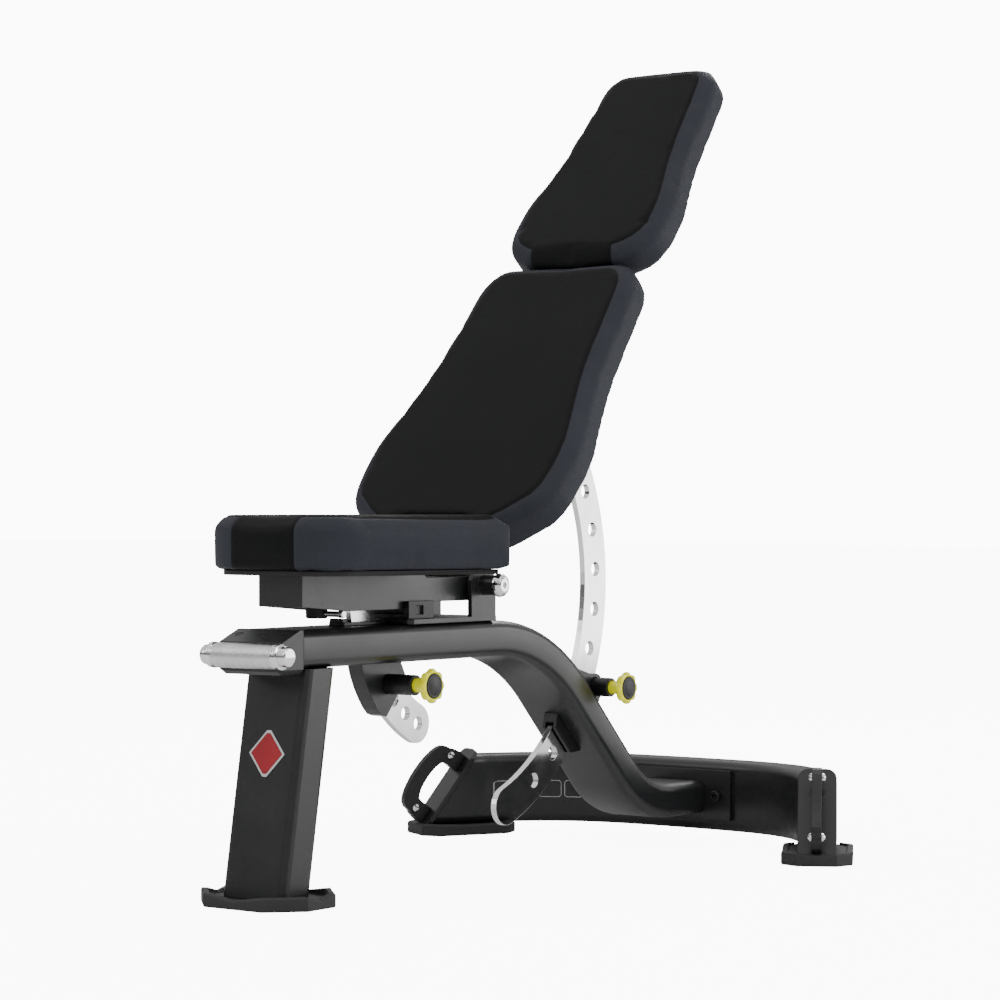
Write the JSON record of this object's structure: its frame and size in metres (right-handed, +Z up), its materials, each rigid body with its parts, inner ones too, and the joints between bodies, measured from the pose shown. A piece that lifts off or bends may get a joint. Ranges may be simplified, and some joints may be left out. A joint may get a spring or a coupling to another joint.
{
  "type": "adjustable weight bench",
  "caption": "Adjustable weight bench: tilting seat and reclining two-piece back on a bent main tube, a front leg, a bowed rear beam with grab handles, and pull-pin sector locks.",
  "frame": {"origin": "on the floor, under the middle of the whole bench as stored", "axes": "+Z up, -Y towards the seat's front end, +Y towards the rear beam, +X towards the pull knobs"},
  "size_m": [0.7106, 0.9794, 1.0556],
  "materials": {
    "frame": "charcoal powder coat, fine texture",
    "trim": "black satin paint",
    "plastic": "black moulded plastic",
    "chrome": "polished chrome plate",
    "satin": "satin zinc plate",
    "steel": "plain steel",
    "rubber": "moulded black rubber",
    "yellow": "yellow moulded plastic",
    "board": "black painted plywood",
    "leather": "black and slate vinyl over foam",
    "badge": "red printed badge"
  },
  "bodies": {
    "base": {"axle_spacer_L": "steel", "axle_spacer_R": "steel", "back_guide": "trim", "back_pin_boss": "trim", "back_pin_gusset": "frame", "back_pin_spring": "steel", "block_screw_1": "steel", "block_screw_2": "steel", "block_screw_3": "steel", "cap_nut_L": "chrome", "cap_nut_R": "chrome", "end_plate_L": "frame", "end_plate_R": "frame", "front_foot": "rubber", "front_leg": "frame", "grab_bolt_L1": "chrome", "grab_bolt_L2": "chrome", "grab_bolt_R1": "chrome", "grab_bolt_R2": "chrome", "grab_handle_L": "plastic", "grab_handle_R": "plastic", "handle_bar": "chrome", "handle_block": "frame", "leg_badge": "badge", "mount_bolt_L": "trim", "mount_bolt_R": "trim", "mount_plate": "frame", "pivot_axle": "steel", "pivot_bracket": "frame", "rear_beam": "frame", "rear_foot_L": "rubber", "rear_foot_R": "rubber", "seat_guide": "frame", "seat_pin_boss": "trim", "seat_pin_spring": "steel", "seat_rest": "trim", "seat_rest_pad": "rubber", "slot_cover": "trim", "spine_tube": "frame"},
    "seat": {"seat_frame": "frame", "seat_sector": "satin", "seat_stop": "rubber", "seat_stop_pin": "satin", "seat_board": "board", "seat_cushion": "leather"},
    "back": {"back_tube": "frame", "back_tube_cap": "plastic", "back_sleeve": "frame", "back_sector": "chrome", "lower_board": "board", "head_board": "board", "lower_cushion": "leather", "head_cushion": "leather"},
    "seat_pin": {"seat_pin_plunger": "steel", "seat_pin_knob": "yellow", "seat_pin_cap": "plastic"},
    "back_pin": {"back_pin_plunger": "steel", "back_pin_knob": "yellow", "back_pin_cap": "plastic"}
  },
  "joints": [
    {"name": "back_tilt", "type": "hinge", "parent": "base", "child": "back", "pos_m": [0, -0.07225, 0.362], "axis": [1, 0, 0], "range_deg": [-50, 30]},
    {"name": "seat_tilt", "type": "hinge", "parent": "base", "child": "seat", "pos_m": [0, -0.07225, 0.362], "axis": [-1, 0, 0], "range_deg": [0, 26.1]},
    {"name": "seat_pin_pull", "type": "slide", "parent": "base", "child": "seat_pin", "axis": [1, 0, 0], "range_m": [-0.011, 0]},
    {"name": "back_pin_pull", "type": "slide", "parent": "base", "child": "back_pin", "axis": [1, 0, 0], "range_m": [-0.011, 0]}
  ]
}
